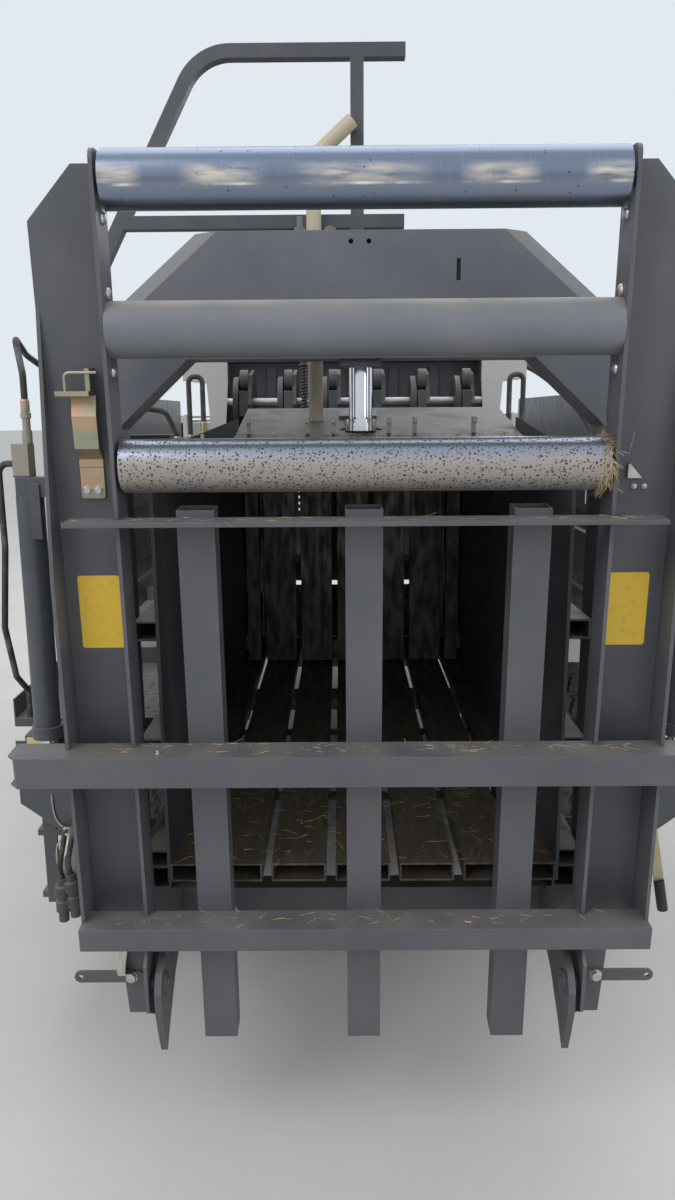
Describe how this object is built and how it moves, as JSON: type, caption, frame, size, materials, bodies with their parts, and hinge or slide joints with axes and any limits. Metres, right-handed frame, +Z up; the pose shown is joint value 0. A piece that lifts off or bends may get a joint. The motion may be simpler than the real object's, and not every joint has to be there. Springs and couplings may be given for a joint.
{
  "type": "large square baler",
  "caption": "Towed large square baler with its bale chute folded up, tandem wheels, raised pick-up, flywheel, side doors and a parking jack.",
  "frame": {"origin": "on the ground under the middle of the machine", "axes": "+Z up, +Y the way it is towed, +X its right hand side"},
  "size_m": [2.53, 8.7285, 3.385],
  "materials": {
    "dark_paint": "dark blue-grey machine paint, dusty",
    "chute_paint": "dark blue-grey machine paint on folded steel",
    "worn_steel": "bare steel rubbed by crop",
    "chrome_rod": "hard chrome plated rod",
    "roller_steel": "polished steel roller with dirt specks",
    "bright_steel": "turned bright steel",
    "zinc": "yellowish zinc plated sheet",
    "cast_paint": "painted castings",
    "panel_paint": "pale grey painted sheet panels",
    "tyre_rubber": "black tyre rubber",
    "rim_paint": "grey painted rims",
    "guard_plastic": "black guard plastic",
    "pale_paint": "pale beige paint, dusty",
    "lamp_red": "red and amber lamp lenses",
    "tine_steel": "painted spring steel tines"
  },
  "bodies": {
    "root": {"axle_beams": "dark_paint", "chamber_floor": "worn_steel", "chamber_roof": "worn_steel", "chamber_wall_left": "dark_paint", "chamber_wall_right": "dark_paint", "chassis_rails": "dark_paint", "density_barrels": "dark_paint", "density_frame": "dark_paint", "density_rods": "chrome_rod", "drawbar": "dark_paint", "drive_shaft": "guard_plastic", "feeder_duct": "worn_steel", "flywheel_guard": "dark_paint", "front_hood": "panel_paint", "gearbox": "dark_paint", "goose_neck_pipe": "pale_paint", "handrail": "dark_paint", "hitch_ring": "bright_steel", "hydraulic_hoses": "guard_plastic", "jack_tube": "dark_paint", "knotter_panels": "panel_paint", "knotter_shaft": "bright_steel", "knotter_table": "dark_paint", "knotters": "cast_paint", "ladder": "dark_paint", "needle_yoke": "dark_paint", "pickup_hangers": "dark_paint", "platform": "dark_paint", "plunger": "worn_steel", "rear_bulkheads": "dark_paint", "rear_cross_beam": "dark_paint", "rear_lamps": "lamp_red", "roof_cross_plate": "dark_paint", "side_shields": "panel_paint", "twine_boxes": "panel_paint"},
    "chute": {"chute_side_right": "chute_paint", "chute_side_left": "chute_paint", "chute_slats": "chute_paint", "chute_beams": "chute_paint", "chute_mid_tube": "chute_paint", "chute_latch": "zinc"},
    "chute_roller_low": {"chute_roller_low": "roller_steel"},
    "chute_roller_top": {"chute_roller_top": "roller_steel"},
    "flywheel": {"flywheel": "cast_paint"},
    "pickup": {"pickup_frame": "dark_paint"},
    "pickup_reel": {"pickup_reel": "tine_steel"},
    "gauge_wheel_left": {"gauge_wheel_left": "tyre_rubber"},
    "gauge_wheel_right": {"gauge_wheel_right": "tyre_rubber"},
    "jack_leg": {"jack_leg": "bright_steel"},
    "side_door_left": {"side_door_left": "panel_paint"},
    "side_door_right": {"side_door_right": "panel_paint"},
    "wheel_left_rear": {"tyre_left_rear": "tyre_rubber", "rim_left_rear": "rim_paint"},
    "wheel_left_front": {"tyre_left_front": "tyre_rubber", "rim_left_front": "rim_paint"},
    "wheel_right_rear": {"tyre_right_rear": "tyre_rubber", "rim_right_rear": "rim_paint"},
    "wheel_right_front": {"tyre_right_front": "tyre_rubber", "rim_right_front": "rim_paint"}
  },
  "joints": [
    {"name": "chute_fold", "type": "hinge", "parent": "root", "child": "chute", "pos_m": [0, -4.2, 0.62], "axis": [1, 0, 0], "range_deg": [0, 92]},
    {"name": "chute_roller_low_spin", "type": "hinge", "parent": "chute", "child": "chute_roller_low", "pos_m": [0, -4.24292, 2.17157], "axis": [1, 0, 0], "continuous": true},
    {"name": "chute_roller_top_spin", "type": "hinge", "parent": "chute", "child": "chute_roller_top", "pos_m": [0, -4.28859, 2.85905], "axis": [1, 0, 0], "continuous": true},
    {"name": "flywheel_spin", "type": "hinge", "parent": "root", "child": "flywheel", "pos_m": [0, 2.31, 1.33], "axis": [0, 1, 0], "continuous": true},
    {"name": "pickup_lift", "type": "hinge", "parent": "root", "child": "pickup", "pos_m": [0, 0.3, 0.7], "axis": [1, 0, 0], "range_deg": [-12, 0]},
    {"name": "pickup_reel_spin", "type": "hinge", "parent": "pickup", "child": "pickup_reel", "pos_m": [0, 0.96, 0.45], "axis": [1, 0, 0], "continuous": true},
    {"name": "gauge_wheel_left_spin", "type": "hinge", "parent": "pickup", "child": "gauge_wheel_left", "pos_m": [-1.18, 0.9, 0.31], "axis": [1, 0, 0], "continuous": true},
    {"name": "gauge_wheel_right_spin", "type": "hinge", "parent": "pickup", "child": "gauge_wheel_right", "pos_m": [1.18, 0.9, 0.31], "axis": [1, 0, 0], "continuous": true},
    {"name": "jack_slide", "type": "slide", "parent": "root", "child": "jack_leg", "axis": [0, 0, 1], "range_m": [0, 0.35]},
    {"name": "side_door_right_swing", "type": "hinge", "parent": "root", "child": "side_door_right", "pos_m": [1.214, 0.98, 2.29], "axis": [0, -1, 0], "range_deg": [0, 95]},
    {"name": "side_door_left_swing", "type": "hinge", "parent": "root", "child": "side_door_left", "pos_m": [-1.214, 0.98, 2.29], "axis": [0, 1, 0], "range_deg": [0, 95]},
    {"name": "wheel_left_rear_spin", "type": "hinge", "parent": "root", "child": "wheel_left_rear", "pos_m": [-1.025, -2.05, 0.6], "axis": [1, 0, 0], "continuous": true},
    {"name": "wheel_left_front_spin", "type": "hinge", "parent": "root", "child": "wheel_left_front", "pos_m": [-1.025, -0.75, 0.6], "axis": [1, 0, 0], "continuous": true},
    {"name": "wheel_right_rear_spin", "type": "hinge", "parent": "root", "child": "wheel_right_rear", "pos_m": [1.025, -2.05, 0.6], "axis": [1, 0, 0], "continuous": true},
    {"name": "wheel_right_front_spin", "type": "hinge", "parent": "root", "child": "wheel_right_front", "pos_m": [1.025, -0.75, 0.6], "axis": [1, 0, 0], "continuous": true}
  ]
}
